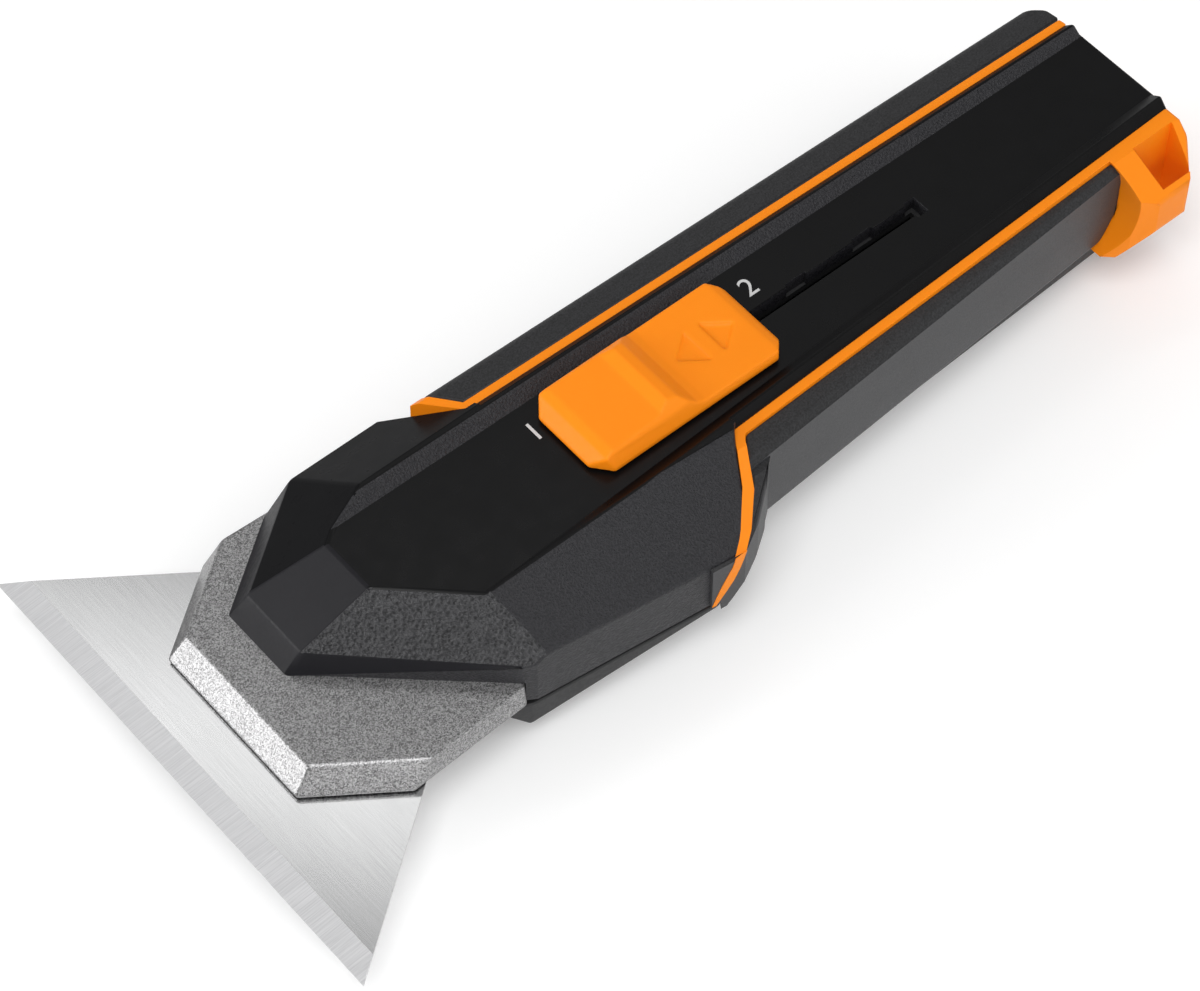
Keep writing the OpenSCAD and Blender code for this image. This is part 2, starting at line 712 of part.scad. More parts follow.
module thumb_slider() {
    foot = panel_z + gap;
    half = slider_w / 2;
    rear_h = pad_h - 1.2;
    mark_u = slider_u + 19;
    color([1, 0.52, 0.08])
    difference() {
        union() {
            translate([0, slide_y, 0])
            intersection() {
                // Side outline: front pad, ridge, lower rear pad
                side([[slider_u, foot], [slider_u, foot + 0.6], [slider_u + 1.2, foot + pad_h - 0.5],
                      [slider_u + 2.2, foot + pad_h - 0.05], [slider_u + 8.8, foot + pad_h + 0.2 * hump_h],
                      [slider_u + 10.2, foot + pad_h + hump_h], [slider_u + 11.4, foot + pad_h + 0.75 * hump_h],
                      [slider_u + 13.2, foot + rear_h + 0.25], [slider_u + 14.2, foot + rear_h],
                      [slider_u + slider_l - 1.4, foot + rear_h],
                      [slider_u + slider_l - 0.5, foot + rear_h - 0.3], [slider_u + slider_l, foot + 0.5],
                      [slider_u + slider_l, foot]], -big / 2, big / 2);
                // Cross section with sloped flanks
                sect([[-half, foot], [half, foot], [half, foot + 0.6], [half - 0.7, foot + pad_h - 0.3],
                      [half - 1.6, foot + pad_h + 0.5], [half - 2.4, foot + pad_h + hump_h + 0.5],
                      [-half + 2.4, foot + pad_h + hump_h + 0.5], [-half + 1.6, foot + pad_h + 0.5],
                      [-half + 0.7, foot + pad_h - 0.3], [-half, foot + 0.6]],
                     slider_u - 1, slider_u + slider_l + 1);
                // Plan with cut corners
                plan([[slider_u, -half + 2.2], [slider_u, half - 2.2], [slider_u + 1.8, half],
                      [slider_u + slider_l - 1.6, half], [slider_u + slider_l, half - 1.8],
                      [slider_u + slider_l, -half + 1.8], [slider_u + slider_l - 1.6, -half],
                      [slider_u + 1.8, -half]], 0, big);
            }
            block(riser_u, riser_u + stem_l, slide_y - stem_t / 2, slide_y + stem_t / 2, z_carr - 5, foot + 0.1);
        }
        // Two engraved triangles
        for (s = [-1, 1])
            plan([[mark_u + s * 0.9, slide_y - 2.3], [mark_u + s * 0.9, slide_y + 2.3],
                  [mark_u + s * 3.9, slide_y]], foot + rear_h - 0.35, big);
        translate([x0 - riser_u - stem_l / 2, -big / 2, pin_z])
            rotate([-90, 0, 0])
                cylinder(d = pin_d, h = big);
    }
}

module slider_pin() {
    color([0.7, 0.7, 0.72])
    translate([x0 - riser_u - stem_l / 2, slide_y - web_half, pin_z])
        rotate([-90, 0, 0])
            cylinder(d = pin_d, h = 2 * web_half);
}

module detent_plate() {
    color([0.66, 0.66, 0.68])
    difference() {
        block(slot_u - 1, dplate_end, cav_y0, cav_y1, z_dplate, z_under);
        block(slot_u, slot_end, slide_y - slot_w / 2, slide_y + slot_w / 2, 0, big);
        for (t = [0, travel]) post(dive_u + t, spring_y, detent_d / 2, 0, big);
    }
}

module detent_spring() {
    color([0.75, 0.75, 0.77])
    difference() {
        union() {
            block(riser_u, dive_u + 1.2, spring_y - spring_w / 2, spring_y + spring_w / 2,
                  z_carr - spring_t, z_carr);
            post(dive_u, spring_y, detent_d / 2 - 0.3, z_carr - spring_t, z_dplate + 0.4);
        }
        post(riser_u + rivet_in, spring_y, rivet_d / 2, 0, big);
    }
}

module spring_rivet() {
    color([0.7, 0.7, 0.72])
    post(riser_u + rivet_in, spring_y, rivet_d / 2, z_carr - guide_t, z_carr);
}

upper_shell();
lower_shell();
core_frame();
left_grip();
right_grip();
head_plate();
plate_screws();
housing_screws();
pivot_pin();
thrust_washer();
blade_carrier();
crank_pin();
blade_magnet();
blade();
drive_bar();
bar_rivets();
slide_carriage();
thumb_slider();
slider_pin();
detent_plate();
detent_spring();
spring_rivet();
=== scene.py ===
# %% [markdown]
# # A razor blade scraper, dressed for its portrait
# The construction of this tool is already done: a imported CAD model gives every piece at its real
# size, and says which pieces move together. Blender adds what the eye reads as "real": softened
# edges, grain, sparkle, brushed steel, light. The first step is to load that model as a fixed frame.

# %% Load the frame
import json
import math

import bmesh
import bpy
from mathutils import Matrix, Vector

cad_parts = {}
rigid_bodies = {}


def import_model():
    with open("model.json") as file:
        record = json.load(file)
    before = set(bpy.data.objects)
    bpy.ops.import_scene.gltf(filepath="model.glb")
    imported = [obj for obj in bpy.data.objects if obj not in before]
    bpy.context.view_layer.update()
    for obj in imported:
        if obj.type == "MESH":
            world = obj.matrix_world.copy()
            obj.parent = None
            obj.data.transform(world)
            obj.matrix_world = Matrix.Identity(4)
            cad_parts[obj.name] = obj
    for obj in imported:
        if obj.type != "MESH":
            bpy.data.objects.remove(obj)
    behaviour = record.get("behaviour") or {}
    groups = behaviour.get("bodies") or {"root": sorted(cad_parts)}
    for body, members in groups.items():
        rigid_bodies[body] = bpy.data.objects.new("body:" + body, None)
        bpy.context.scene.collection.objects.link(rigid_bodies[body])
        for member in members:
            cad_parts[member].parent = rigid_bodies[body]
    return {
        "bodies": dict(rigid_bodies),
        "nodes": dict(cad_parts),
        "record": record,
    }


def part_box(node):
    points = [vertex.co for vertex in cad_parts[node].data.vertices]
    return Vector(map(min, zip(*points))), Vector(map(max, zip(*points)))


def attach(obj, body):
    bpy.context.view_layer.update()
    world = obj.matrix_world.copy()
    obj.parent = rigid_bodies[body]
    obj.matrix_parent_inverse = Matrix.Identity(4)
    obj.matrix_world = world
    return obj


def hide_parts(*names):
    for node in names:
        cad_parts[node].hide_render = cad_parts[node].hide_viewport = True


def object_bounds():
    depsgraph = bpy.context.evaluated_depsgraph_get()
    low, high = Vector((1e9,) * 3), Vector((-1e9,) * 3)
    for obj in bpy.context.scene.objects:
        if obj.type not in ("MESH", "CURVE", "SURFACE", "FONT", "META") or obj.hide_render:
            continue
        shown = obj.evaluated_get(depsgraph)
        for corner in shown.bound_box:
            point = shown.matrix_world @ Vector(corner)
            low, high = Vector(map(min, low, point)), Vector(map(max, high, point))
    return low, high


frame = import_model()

MM = 0.001
cad_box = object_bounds()
scene = bpy.context.scene
scene.view_settings.view_transform = "Standard"
kept = set(frame["nodes"].values()) | set(frame["bodies"].values())
for startup in [o for o in bpy.data.objects if o not in kept]:
    bpy.data.objects.remove(startup)
record = frame["record"]
body_of = {node: body for body, nodes in record["behaviour"]["bodies"].items() for node in nodes}


def show(name, data):
    """A new object in the scene."""
    shown = bpy.data.objects.new(name, data)
    scene.collection.objects.link(shown)
    return shown


def plain_mesh(shown):
    """The mesh of an object as its modifiers leave it."""
    return bpy.data.meshes.new_from_object(shown.evaluated_get(bpy.context.evaluated_depsgraph_get()))


cad_size = [round(v / MM, 1) for v in cad_box[1] - cad_box[0]]
print("loaded", len(frame["nodes"]), "nodes; box in mm:", cad_size)

# %% [markdown]
# ## Camera
# The picture was taken from above the blade's right-hand corner. A camera fitted to the blade, whose
# size is a standard one, gives its place and direction. The focal length is kept in pixels of the
# 1200 by 991 frame, and turned into a lens length for Blender's 36 mm sensor.

# %% Camera
FRAME_W = 1200
FOCAL_PX = 4000
SENSOR_MM = 36
CLIP_M = (0.01, 20)
CAMERA_AT = Vector((165.2, 185.3, 348.2)) * MM
CAMERA_LOOK = Vector((-0.3717, -0.4412, -0.8169))


def make_camera():
    data = bpy.data.cameras.new("camera")
    data.sensor_width = SENSOR_MM
    data.lens = SENSOR_MM * FOCAL_PX / FRAME_W
    data.clip_start, data.clip_end = CLIP_M
    camera = show("camera", data)
    camera.location = CAMERA_AT
    camera.rotation_euler = CAMERA_LOOK.to_track_quat("-Z", "Y").to_euler()
    scene.camera = camera
    return camera


print("camera lens", round(make_camera().data.lens, 1), "mm")

# %% [markdown]
# ## Building materials from nodes
# Every finish below is a small node tree around one Principled shader, and needs the same three things:
# a colour that wanders a little, a roughness that does too, and a fine bump. The helpers here make one
# line of each. Patterns read Object coordinates, in metres, so a grain of a quarter millimetre has a
# scale of 4000. A noise mostly stays in the middle of its range, so that middle is stretched.

# %% Node helpers
NOISE_RANGE = (0.3, 0.7)
GRAIN_RANGE = (0.35, 0.65)


def add(tree, kind, settings=None, **sockets):
    """Adds a node; a socket takes a value or another node's output."""
    made = tree.nodes.new(kind)
    for name, value in (settings or {}).items():
        setattr(made, name, value)
    for name, value in sockets.items():
        socket = made.inputs[name.replace("_", " ")]
        if isinstance(value, bpy.types.NodeSocket):
            tree.links.new(value, socket)
        else:
            socket.default_value = value
    return made


def start_material(name, **constants):
    """A new material: its tree, its shader and the Object coordinates to read patterns from."""
    material = bpy.data.materials.new(name)
    material.use_nodes = True
    tree = material.node_tree
    shader = tree.nodes["Principled BSDF"]
    for socket, value in constants.items():
        shader.inputs[socket.replace("_", " ")].default_value = value
    place = add(tree, "ShaderNodeTexCoord").outputs["Object"]
    return material, tree, shader, place


def noise(tree, place, size_mm, detail=2.0, roughness=0.5):
    """A noise whose blotches are about size_mm across."""
    made = add(tree, "ShaderNodeTexNoise", Vector=place, Scale=1 / (size_mm * MM), Detail=detail,
               Roughness=roughness)
    return made.outputs["Fac"]


def ramp(tree, value, given_range, to_low=0, to_high=1):
    """Maps a value from the range given to another, clamped."""
    low, high = given_range
    made = add(tree, "ShaderNodeMapRange", Value=value, From_Min=low, From_Max=high, To_Min=to_low,
               To_Max=to_high)
    return made.outputs["Result"]


def colour(tree, shader, fac, dark, light):
    """The base colour runs from dark to light as fac goes from 0 to 1."""
    made = add(tree, "ShaderNodeValToRGB", Fac=fac)
    made.color_ramp.elements[0].color = (*dark, 1)
    made.color_ramp.elements[1].color = (*light, 1)
    tree.links.new(made.outputs["Color"], shader.inputs["Base Color"])


def gloss(tree, shader, pattern, low, high, given_range=NOISE_RANGE):
    """The roughness runs from low to high over the pattern's range."""
    tree.links.new(ramp(tree, pattern, given_range, low, high), shader.inputs["Roughness"])


def bump(tree, shader, height, depth_mm, strength):
    """Tilts the surface by a height pattern that is depth_mm deep."""
    made = add(tree, "ShaderNodeBump", Height=height, Strength=strength, Distance=depth_mm * MM)
    tree.links.new(made.outputs["Normal"], shader.inputs["Normal"])


print("node helpers ready")

# %% [markdown]
# ## Plastics
# The upper shell is one moulding with several finishes: a polished thumb panel, smooth satin facets on
# the nose, a leather grain on the facet under the thumb, a quiet black with hardly any shine on the far
# side and a fine spark-eroded skin elsewhere. The accents are satin orange, and the base is matte. Each
# finish differs in roughness and in the size of its bump.

# %% Plastics
LEATHER_SCALE = 2400
LEATHER_SHADE_RANGE = (0.4, 1.1)


def polished_black(name="polished_black", level=0.17, shade=0.0035):
    material, tree, shader, place = start_material(name, Specular_IOR_Level=level)
    dark = [shade * share for share in (0.8, 0.8, 0.86)]
    light = [shade * share for share in (1.2, 1.2, 1.29)]
    colour(tree, shader, noise(tree, place, 9, detail=3), dark, light)
    gloss(tree, shader, noise(tree, place, 2.5), 0.26, 0.34)
    bump(tree, shader, noise(tree, place, 0.5), 0.004, 0.3)
    return material


def satin_black():
    material, tree, shader, place = start_material("satin_black", Specular_IOR_Level=0.22)
    mottle = noise(tree, place, 4, detail=3)
    colour(tree, shader, mottle, (0.0055, 0.0052, 0.0072), (0.008, 0.0077, 0.01))
    gloss(tree, shader, noise(tree, place, 0.4), 0.4, 0.5)
    bump(tree, shader, noise(tree, place, 0.14), 0.008, 0.5)
    return material


def leather_black():
    material, tree, shader, place = start_material("leather_black")
    cells = add(tree, "ShaderNodeTexVoronoi", {"feature": "SMOOTH_F1"}, Vector=place,
                Scale=LEATHER_SCALE, Smoothness=0.4, Randomness=1.0).outputs["Distance"]
    wander = noise(tree, place, 0.28, detail=3)
    relief = add(tree, "ShaderNodeMath", {"operation": "MULTIPLY_ADD"})
    tree.links.new(cells, relief.inputs[0])
    relief.inputs[1].default_value = 0.9
    tree.links.new(wander, relief.inputs[2])
    height = relief.outputs[0]
    # The colour follows the relief: the grain's hollows are painted darker as painted shade and its ridges
    # lighter as painted light; the relief itself is the bump.
    colour(tree, shader, ramp(tree, height, LEATHER_SHADE_RANGE), (0.012, 0.012, 0.014), (0.066, 0.066, 0.07))
    gloss(tree, shader, wander, 0.34, 0.5)
    bump(tree, shader, height, 0.9, 1.0)
    return material


def spark_black():
    material, tree, shader, place = start_material("spark_black", Specular_IOR_Level=0.38)
    grain = noise(tree, place, 0.24, detail=3, roughness=0.6)
    colour(tree, shader, ramp(tree, grain, GRAIN_RANGE), (0.008, 0.0078, 0.01), (0.022, 0.0215, 0.025))
    gloss(tree, shader, noise(tree, place, 0.5), 0.4, 0.52)
    bump(tree, shader, grain, 0.2, 0.9)
    return material


def satin_orange():
    material, tree, shader, place = start_material("satin_orange", Specular_IOR_Level=0.18,
                                                   Subsurface_Weight=0.05)
    shader.inputs["Subsurface Radius"].default_value = (1.0, 0.35, 0.08)
    shader.inputs["Subsurface Scale"].default_value = 0.8 * MM
    mottle = noise(tree, place, 5, detail=3)
    colour(tree, shader, mottle, (0.93, 0.245, 0.004), (0.97, 0.262, 0.006))
    gloss(tree, shader, noise(tree, place, 0.6), 0.42, 0.5)
    bump(tree, shader, noise(tree, place, 0.18), 0.005, 0.5)
    return material


def matte_base():
    material, tree, shader, place = start_material("matte_base")
    mottle = noise(tree, place, 3, detail=3)
    colour(tree, shader, mottle, (0.013, 0.013, 0.014), (0.019, 0.019, 0.02))
    gloss(tree, shader, noise(tree, place, 0.5), 0.5, 0.62)
    bump(tree, shader, noise(tree, place, 0.25, detail=3), 0.025, 0.6)
    return material


plastics = {make.__name__: make() for make in (polished_black, satin_black, leather_black, spark_black,
                                               satin_orange, matte_base)}
plastics["quiet_black"] = polished_black("quiet_black", level=0.015, shade=0.0085)
print("plastics:", ", ".join(plastics))

# %% [markdown]
# ## Rubber and metals
# The grips have two bands: a coarse dark grain on top, and a finer skin down the side, whose paler colour
# is painted light for the light that falls on the side. The head plate is a casting with a metallic coat,
# whose flakes glint one by one. The blade is strip steel, brushed along its length, with its edge ground
# crosswise: a noise stretched fifty times along one axis gives such lines.

# %% Rubber and metals
FLAKE_SCALE = 8500
FULL_RANGE = (0, 1)
STRETCH = 0.02


def grained_rubber():
    material, tree, shader, place = start_material("grained_rubber", Specular_IOR_Level=0.35)
    grain = noise(tree, place, 0.22, detail=3, roughness=0.6)
    colour(tree, shader, ramp(tree, grain, GRAIN_RANGE), (0.011, 0.011, 0.0115), (0.03, 0.03, 0.032))
    gloss(tree, shader, grain, 0.58, 0.72)
    bump(tree, shader, grain, 0.09, 0.8)
    return material


def smooth_rubber():
    material, tree, shader, place = start_material("smooth_rubber", Specular_IOR_Level=0.45)
    grain = noise(tree, place, 0.18, detail=3)
    # The side's paler base colour is painted light, standing for the light that falls on the grip's side; the
    # finer grain is the rubber's own.
    colour(tree, shader, noise(tree, place, 3), (0.034, 0.034, 0.036), (0.044, 0.044, 0.047))
    gloss(tree, shader, grain, 0.46, 0.58)
    bump(tree, shader, grain, 0.02, 0.6)
    return material


def flaked_metal():
    material, tree, shader, place = start_material("flaked_metal", Metallic=0.92)
    flakes = add(tree, "ShaderNodeTexVoronoi", Vector=place, Scale=FLAKE_SCALE, Randomness=1.0)
    glint = add(tree, "ShaderNodeSeparateColor", Color=flakes.outputs["Color"]).outputs["Red"]
    colour(tree, shader, ramp(tree, glint, FULL_RANGE), (0.11, 0.109, 0.11), (0.5, 0.497, 0.5))
    gloss(tree, shader, glint, 0.34, 0.48, FULL_RANGE)
    bump(tree, shader, glint, 0.03, 0.5)
    return material


def brushed_steel():
    material, tree, shader, place = start_material("brushed_steel", Metallic=1.0)
    along = add(tree, "ShaderNodeMapping", Vector=place, Scale=(1, STRETCH, 1)).outputs["Vector"]
    lines = noise(tree, along, 0.12, detail=4, roughness=0.6)
    colour(tree, shader, ramp(tree, lines, NOISE_RANGE), (0.53, 0.532, 0.534), (0.6, 0.602, 0.604))
    gloss(tree, shader, noise(tree, place, 14), 0.2, 0.215)
    bump(tree, shader, lines, 0.002, 0.25)
    return material


def ground_steel():
    material, tree, shader, place = start_material("ground_steel", Metallic=1.0)
    across = add(tree, "ShaderNodeMapping", Vector=place, Scale=(STRETCH, 1, STRETCH)).outputs["Vector"]
    lines = noise(tree, across, 0.12, detail=4, roughness=0.7)
    colour(tree, shader, ramp(tree, lines, NOISE_RANGE), (0.66, 0.66, 0.67), (0.9, 0.9, 0.91))
    gloss(tree, shader, lines, 0.3, 0.45)
    bump(tree, shader, lines, 0.01, 0.5)
    return material


def plated_steel():
    material, tree, shader, place = start_material("plated_steel", Metallic=1.0)
    colour(tree, shader, noise(tree, place, 1.5, detail=3), (0.42, 0.42, 0.43), (0.56, 0.56, 0.57))
    gloss(tree, shader, noise(tree, place, 0.4), 0.28, 0.42)
    bump(tree, shader, noise(tree, place, 0.2), 0.005, 0.5)
    return material


def dark_steel():
    material, tree, shader, place = start_material("dark_steel", Metallic=1.0)
    colour(tree, shader, noise(tree, place, 1.2, detail=3), (0.09, 0.09, 0.095), (0.15, 0.15, 0.16))
    gloss(tree, shader, noise(tree, place, 0.3), 0.32, 0.48)
    bump(tree, shader, noise(tree, place, 0.2), 0.006, 0.5)
    return material


metals = {make.__name__: make() for make in (grained_rubber, smooth_rubber, flaked_metal, brushed_steel,
                                             ground_steel, plated_steel, dark_steel)}
finish = {**plastics, **metals}
print("rubber and metals:", ", ".join(metals))

# %% [markdown]
# ## Softening the mouldings
# CAD edges are perfectly sharp, and no moulded or cast piece is. Each visible piece is a copy of its
# node, welded, with its flat triangles joined to whole faces. A Bevel modifier then rounds every outer
# edge that is sharper than a given angle, and the copy stands for the node. A bevel tears the surface
# where it has no room, so edges too short to see are collapsed first, and an edge beside a short
# neighbour gets only the width that fits there. Knife edges stay sharp.

# %% Softened copies
WELD_M = 1e-6
FLAT_DEG = 0.3
SHARP_DEG = 9
KNIFE_DEG = 125
SHORTEST_MM = 0.18
ROOM_SHARE = 0.45
SOFT_MM = {"upper_shell": 0.4, "left_grip": 0.4, "right_grip": 0.4, "core_frame": 0.5, "lower_shell": 0.25,
           "head_plate": 0.4, "blade": 0.02}


def welded_shape(node):
    """The mesh of a CAD node, for editing, with shared corners."""
    shape = bmesh.new()
    shape.from_mesh(frame["nodes"][node].data)
    bmesh.ops.remove_doubles(shape, verts=shape.verts, dist=WELD_M)
    return shape


def welded_copy(node, name, shortest_mm=SHORTEST_MM):
    """A copy of a CAD node with whole flat faces and no edge shorter than given."""
    shape = welded_shape(node)
    bmesh.ops.dissolve_limit(shape, angle_limit=math.radians(FLAT_DEG), verts=shape.verts, edges=shape.edges)
    bmesh.ops.collapse(shape, edges=[e for e in shape.edges if e.calc_length() < shortest_mm * MM])
    mesh = bpy.data.meshes.new(name)
    shape.to_mesh(mesh)
    shape.free()
    if "custom_normal" in mesh.attributes:
        mesh.attributes.remove(mesh.attributes["custom_normal"])
    mesh.materials.clear()
    mesh.shade_smooth()
    return show(name, mesh)


def soften(piece, width_mm, share, segments):
    """Rounds the piece's edges; share(edge's middle, its two normals) says how much of the width."""
    mesh = piece.data
    shape = bmesh.new()
    shape.from_mesh(mesh)
    weight = shape.edges.layers.float.new("bevel_weight_edge")
    for edge in shape.edges:
        if edge.is_convex and SHARP_DEG < math.degrees(edge.calc_face_angle()) < KNIFE_DEG:
            middle = (edge.verts[0].co + edge.verts[1].co) / 2 / MM
            room = min(e.calc_length() for v in edge.verts for e in v.link_edges) / MM
            fits = min(1.0, ROOM_SHARE * room / width_mm)
            edge[weight] = fits * share(middle, [face.normal for face in edge.link_faces])
        if edge[weight] == 0 and math.degrees(edge.calc_face_angle(0)) > SHARP_DEG:
            edge.smooth = False
    shape.to_mesh(mesh)
    shape.free()
    bevel = piece.modifiers.new("soft_edges", "BEVEL")
    bevel.width = width_mm * MM
    bevel.segments = segments
    bevel.limit_method = "WEIGHT"
    bevel.use_clamp_overlap = False
    bevel.harden_normals = True
    bevel.miter_outer = "MITER_ARC"


def stand_for(piece, node):
    """The piece is shown in place of the CAD node, and moves with its body."""
    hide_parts(node)
    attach(piece, body_of[node])
    print(piece.name, "stands for", node, "with", len(piece.data.polygons), "faces")


def paint(piece, finishes, choose=None):
    """Gives each face the finish that choose(face) names, or the only one there is."""
    for name in finishes:
        piece.data.materials.append(finish[name])
    for face in piece.data.polygons:
        face.material_index = finishes.index(choose(face)) if choose else 0


def every_edge(middle, normals):
    return 1.0


def dress(node, finishes, choose=None, share=every_edge, shortest_mm=SHORTEST_MM, segments=3):
    """Shows a painted and softened copy in place of a CAD node."""
    piece = welded_copy(node, node + "_dressed", shortest_mm)
    paint(piece, finishes, choose)
    soften(piece, SOFT_MM[node], share, segments)
    stand_for(piece, node)


print("helpers for softened copies ready")

# %% [markdown]
# ## Upper shell
# The shell's facets are known by the way they face: a plan angle and a slope from level. Each face of
# the copy takes the finish of the facet whose direction is nearest to its own. Walls, undersides and the
# thin slivers at the finger stop keep their sharp edges, and the slot's rim is rounded only a little.

# %% Upper shell


def facing(plan, slope):
    """Unit normal of a facet that faces a plan angle and tilts by slope from level, in degrees."""
    p, s = math.radians(plan), math.radians(slope)
    return Vector((math.cos(p) * math.sin(s), math.sin(p) * math.sin(s), math.cos(s)))


SHELL_FACETS = [
    (facing(0, 0), "polished_black"),
    (facing(0, 36), "satin_black"),
    (facing(46, 52.6), "leather_black"),
    (facing(-54, 37), "quiet_black"),
    (facing(86, 36), "spark_black"),
    (facing(-90, 36), "quiet_black"),
    (facing(0, 60), "satin_black"),
    (facing(46, 74), "satin_black"),
    (facing(-54, 58), "satin_black"),
    (facing(92, 45), "polished_black"),
    (facing(-90, 45), "quiet_black"),
]
SHELL_FINISHES = ["polished_black", "quiet_black", "satin_black", "leather_black", "spark_black"]
RIM_SLOPE = 33.7
RIM_MATCH = 0.99
WALL_Z = 0.15
UNDER_Z = -0.5
PANEL_T = 1.8
PANEL_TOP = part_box("detent_plate")[1].z / MM + PANEL_T
LOWEST_SOFT = PANEL_TOP - 10
SLOT_HALF, SLOT_FRONT, SLOT_DEPTH, SLOT_SHARE = 2.4, 6, 0.5, 0.3
STOP_X, STOP_Y, STOP_Z = (2, 14), 13.5, 17


def shell_finish(face):
    normal = face.normal
    if normal.z < WALL_Z:
        return "spark_black"
    if face.center.y < 0 and normal.dot(facing(90, RIM_SLOPE)) > RIM_MATCH:
        return "spark_black"
    if face.center.y > 0 and normal.dot(facing(-90, RIM_SLOPE)) > RIM_MATCH:
        return "polished_black"
    return max(SHELL_FACETS, key=lambda facet: facet[0].dot(normal))[1]


def at_stop(middle):
    """The finger stop's tip, where the shell, the line and the grip end in slivers too thin to round."""
    return STOP_X[0] < middle.x < STOP_X[1] and middle.y > STOP_Y and middle.z < STOP_Z


def shell_edges(middle, normals):
    rises = [n.z for n in normals]
    if max(rises) < WALL_Z or min(rises) < UNDER_Z or middle.z < LOWEST_SOFT or at_stop(middle):
        return 0.0
    on_panel = abs(middle.z - PANEL_TOP) < SLOT_DEPTH
    if on_panel and abs(middle.y) < SLOT_HALF and middle.x < SLOT_FRONT:
        return SLOT_SHARE
    return 1.0


dress("upper_shell", SHELL_FINISHES, shell_finish, shell_edges)

# %% [markdown]
# ## Grips, frame and base
# The grips take their coarse band where the surface looks up, and the smooth band down the side, painted
# paler there as light on the side. The frame's tail is a handle of its own and well rounded, while the thin
# accent line is nearly sharp.

# %% Grips, frame and base
BAND_Z = 0.35
GRIP_TIP_X, GRIP_TIP_Z = -48, 15.5
HOLE_X, HOLE_Y = (-63.3, -58.1), (9.2, 14.3)
TAIL_X = -57.5
LINE_SHARE = 0.2


def grip_finish(face):
    # Side faces get the smooth rubber, painted paler as painted light on the side.
    return "grained_rubber" if face.normal.z > BAND_Z else "smooth_rubber"


def grip_edges(middle, normals):
    at_tip = middle.x < GRIP_TIP_X and middle.z > GRIP_TIP_Z
    return 0.0 if at_tip or at_stop(middle) else 1.0


def frame_edges(middle, normals):
    in_hole = HOLE_X[0] < middle.x < HOLE_X[1] and HOLE_Y[0] < middle.y < HOLE_Y[1]
    if at_stop(middle) or in_hole:
        return 0.0
    return 1.0 if middle.x < TAIL_X else LINE_SHARE


for grip in ("left_grip", "right_grip"):
    dress(grip, ["grained_rubber", "smooth_rubber"], grip_finish, grip_edges, shortest_mm=0)
dress("core_frame", ["satin_orange"], share=frame_edges, shortest_mm=0)
dress("lower_shell", ["matte_base"])

# %% [markdown]
# ## Tip of the accent line
# On the finger stop the orange line runs on down the side and narrows to a point. It is a thin ribbon,
# laid on the grip: each row of it has a height and the two ends of the line there, and the side's own
# slope gives the depth. Two skins, an outer and an inner one, close it to a solid.

# %% Tip of the accent line
TIP_ROWS = [
    (14.0, 7.66, 6.13), (12.7, 8.05, 6.6), (11.65, 8.6, 7.05),
    (10.3, 9.25, 7.85), (8.96, 9.85, 8.75), (7.4, 10.4, 9.9),
]
STOP_RIDGE = (7.83, 19.65)
STOP_SLOPES = {"front": -0.1154, "back": 0.0313}
TIP_PROUD, TIP_SUNK = 0.06, 0.02


def stop_side(x):
    """How far out the finger stop's side is at x; it has a faint ridge."""
    ridge_x, ridge_y = STOP_RIDGE
    return ridge_y + (x - ridge_x) * STOP_SLOPES["front" if x > ridge_x else "back"]


def make_tip():
    shape = bmesh.new()
    rows = []
    for z, front, back in TIP_ROWS:
        corners = [(front, TIP_PROUD), (back, TIP_PROUD), (back, -TIP_SUNK), (front, -TIP_SUNK)]
        rows.append([shape.verts.new(Vector((x, stop_side(x) + out, z)) * MM) for x, out in corners])
    for upper, lower in zip(rows, rows[1:]):
        for i in range(4):
            j = (i + 1) % 4
            shape.faces.new((upper[i], upper[j], lower[j], lower[i]))
    shape.faces.new(rows[0])
    shape.faces.new(rows[-1])
    bmesh.ops.recalc_face_normals(shape, faces=shape.faces)
    mesh = bpy.data.meshes.new("accent_tip")
    shape.to_mesh(mesh)
    shape.free()
    mesh.materials.append(finish["satin_orange"])
    tip = show("accent_tip", mesh)
    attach(tip, "housing")
    print("accent tip with", len(mesh.polygons), "faces")


make_tip()

# %% [markdown]
# ## Thumb slider
# The slider is the piece that the eye meets first, and all of it flows: soft edges, a soft ridge for the
# thumb and softly sunk arrows. A bevel keeps its faces flat, so another way is taken here. The copy is
# rebuilt as a fine grid of voxels, and a Smooth modifier relaxes that grid, which melts every edge by
# about half a millimetre. The result is made a plain mesh.

# %% Thumb slider
VOXEL_MM = 0.16
RELAX_FACTOR = 0.5
RELAX_PASSES = 9


def melted_copy(node, name):
    """A copy of a CAD node whose edges are melted evenly."""
    piece = welded_copy(node, name)
    voxels = piece.modifiers.new("voxels", "REMESH")
    voxels.mode = "VOXEL"
    voxels.voxel_size = VOXEL_MM * MM
    voxels.use_smooth_shade = True
    relax = piece.modifiers.new("relax", "SMOOTH")
    relax.factor = RELAX_FACTOR
    relax.iterations = RELAX_PASSES
    melted = plain_mesh(piece)
    piece.modifiers.clear()
    piece.data = melted
    return piece


slider = melted_copy("thumb_slider", "thumb_slider_dressed")
paint(slider, ["satin_orange"])
stand_for(slider, "thumb_slider")

# %% [markdown]
# ## Head plate and blade
# The plate's coat covers it all. The blade's ground bevels are the long faces that tilt towards the
# cutting edge; the rest of the strip is brushed.

# %% Head plate and blade
GROUND_TILT = (0.05, 0.5)


def blade_finish(face):
    ground = GROUND_TILT[0] < face.normal.x < GROUND_TILT[1]
    return "ground_steel" if ground else "brushed_steel"


dress("head_plate", ["flaked_metal"])
dress("blade", ["brushed_steel", "ground_steel"], blade_finish, shortest_mm=0, segments=1)

